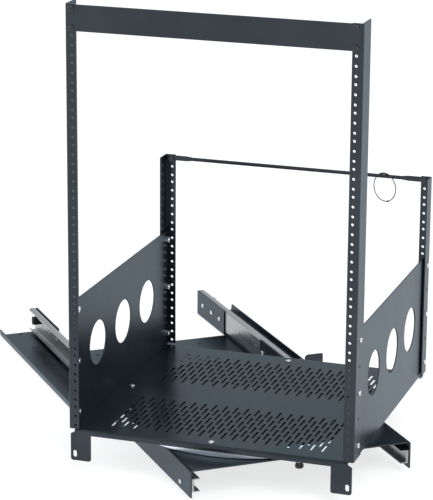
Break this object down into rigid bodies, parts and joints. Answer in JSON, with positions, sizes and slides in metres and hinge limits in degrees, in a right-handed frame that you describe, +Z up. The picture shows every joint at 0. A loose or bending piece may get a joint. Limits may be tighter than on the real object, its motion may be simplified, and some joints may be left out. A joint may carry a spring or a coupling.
{
  "type": "pull-out rotating equipment rack",
  "caption": "Open steel equipment rack with a vented shelf, turning on a ball-bearing turntable over a carriage that pulls out of its base on telescopic slides.",
  "frame": {"origin": "centre of the base plate's underside, on the floor", "axes": "rack faces -Y, +X to its right seen from the front, +Z up; the base and slides are turned 39.45 degrees about Z"},
  "size_m": [0.9312, 0.9986, 0.7877],
  "materials": {
    "powder_coat": "satin",
    "zinc": "satin",
    "bright_zinc": "bright",
    "black_screw": "satin",
    "aluminium": "satin",
    "ball_steel": "polished",
    "rubber": "matt",
    "knob_black": "satin",
    "ring_wire": "satin"
  },
  "bodies": {
    "base": {"base_plate": "powder_coat", "slide_tabs": "powder_coat", "base_ears": "powder_coat", "slide_tab_screws": "bright_zinc", "left_fixed_slide": "zinc", "left_slide_bumper": "rubber", "right_fixed_slide": "zinc", "right_slide_bumper": "rubber"},
    "carriage": {"carriage_plate": "powder_coat", "carriage_screws": "bright_zinc", "turntable_lower_race": "zinc", "lower_race_screws": "bright_zinc", "lock_barrel": "zinc", "lock_nut": "zinc", "left_moving_slide": "zinc", "right_moving_slide": "zinc", "left_slide_spacer": "zinc", "right_slide_spacer": "zinc"},
    "rack": {"turntable_pan": "aluminium", "turntable_upper_race": "zinc", "shelf": "powder_coat", "shelf_screws": "bright_zinc", "blank_panel": "powder_coat", "blank_panel_screws": "black_screw", "crossbar": "powder_coat", "crossbar_screws": "black_screw", "crossbar_nuts": "black_screw", "rear_feet": "rubber", "foot_studs": "bright_zinc", "rear_rail_shims": "powder_coat", "left_front_rail": "powder_coat", "left_rear_rail": "powder_coat", "left_side_panel": "powder_coat", "left_panel_screws": "bright_zinc", "left_panel_nuts": "bright_zinc", "right_front_rail": "powder_coat", "right_rear_rail": "powder_coat", "right_side_panel": "powder_coat", "right_panel_screws": "bright_zinc", "right_panel_nuts": "bright_zinc"},
    "ball_cage": {"turntable_ball_cage": "zinc", "turntable_balls": "ball_steel"},
    "lock_plunger": {"lock_pin": "zinc", "lock_knob": "knob_black", "lock_spring": "zinc"},
    "hanging_ring": {"hanging_ring": "ring_wire", "ring_sleeve": "rubber"},
    "left_middle_slide": {"left_middle_slide": "zinc"},
    "left_outer_retainer": {"left_outer_ball_retainer": "zinc", "left_outer_slide_balls": "ball_steel"},
    "left_inner_retainer": {"left_inner_ball_retainer": "zinc", "left_inner_slide_balls": "ball_steel"},
    "right_middle_slide": {"right_middle_slide": "zinc"},
    "right_outer_retainer": {"right_outer_ball_retainer": "zinc", "right_outer_slide_balls": "ball_steel"},
    "right_inner_retainer": {"right_inner_ball_retainer": "zinc", "right_inner_slide_balls": "ball_steel"}
  },
  "joints": [
    {"name": "carriage_slide", "type": "slide", "parent": "base", "child": "carriage", "axis": [0.6354, -0.7722, 0], "range_m": [-0.476, 0]},
    {"name": "rack_turn", "type": "hinge", "parent": "carriage", "child": "rack", "pos_m": [0.30372, -0.3691, 0.063], "axis": [0, 0, 1], "range_deg": [-20.55, 99.45]},
    {"name": "ball_cage_turn", "type": "hinge", "parent": "carriage", "child": "ball_cage", "pos_m": [0.30372, -0.3691, 0.063], "axis": [0, 0, 1], "range_deg": [-10.28, 49.73]},
    {"name": "lock_pull", "type": "slide", "parent": "carriage", "child": "lock_plunger", "axis": [0, 0, 1], "range_m": [-0.008, 0], "stiffness_N_per_m": 500, "springref_m": 0.004, "deforming": ["lock_spring"]},
    {"name": "ring_swing", "type": "hinge", "parent": "rack", "child": "hanging_ring", "pos_m": [0.46602, -0.1237, 0.4272], "axis": [1, 0, 0], "range_deg": [-75, 75]},
    {"name": "left_middle_slide_run", "type": "slide", "parent": "base", "child": "left_middle_slide", "axis": [0.6354, -0.7722, 0], "range_m": [-0.238, 0]},
    {"name": "left_outer_retainer_run", "type": "slide", "parent": "base", "child": "left_outer_retainer", "axis": [0.6354, -0.7722, 0], "range_m": [-0.119, 0]},
    {"name": "left_inner_retainer_run", "type": "slide", "parent": "base", "child": "left_inner_retainer", "axis": [0.6354, -0.7722, 0], "range_m": [-0.357, 0]},
    {"name": "right_middle_slide_run", "type": "slide", "parent": "base", "child": "right_middle_slide", "axis": [0.6354, -0.7722, 0], "range_m": [-0.238, 0]},
    {"name": "right_outer_retainer_run", "type": "slide", "parent": "base", "child": "right_outer_retainer", "axis": [0.6354, -0.7722, 0], "range_m": [-0.119, 0]},
    {"name": "right_inner_retainer_run", "type": "slide", "parent": "base", "child": "right_inner_retainer", "axis": [0.6354, -0.7722, 0], "range_m": [-0.357, 0]}
  ],
  "couplings": [
    {"joint": "ball_cage_turn", "follows": "rack_turn", "ratio": 0.5},
    {"joint": "left_middle_slide_run", "follows": "carriage_slide", "ratio": 0.5},
    {"joint": "left_outer_retainer_run", "follows": "carriage_slide", "ratio": 0.25},
    {"joint": "left_inner_retainer_run", "follows": "carriage_slide", "ratio": 0.75},
    {"joint": "right_middle_slide_run", "follows": "carriage_slide", "ratio": 0.5},
    {"joint": "right_outer_retainer_run", "follows": "carriage_slide", "ratio": 0.25},
    {"joint": "right_inner_retainer_run", "follows": "carriage_slide", "ratio": 0.75}
  ]
}
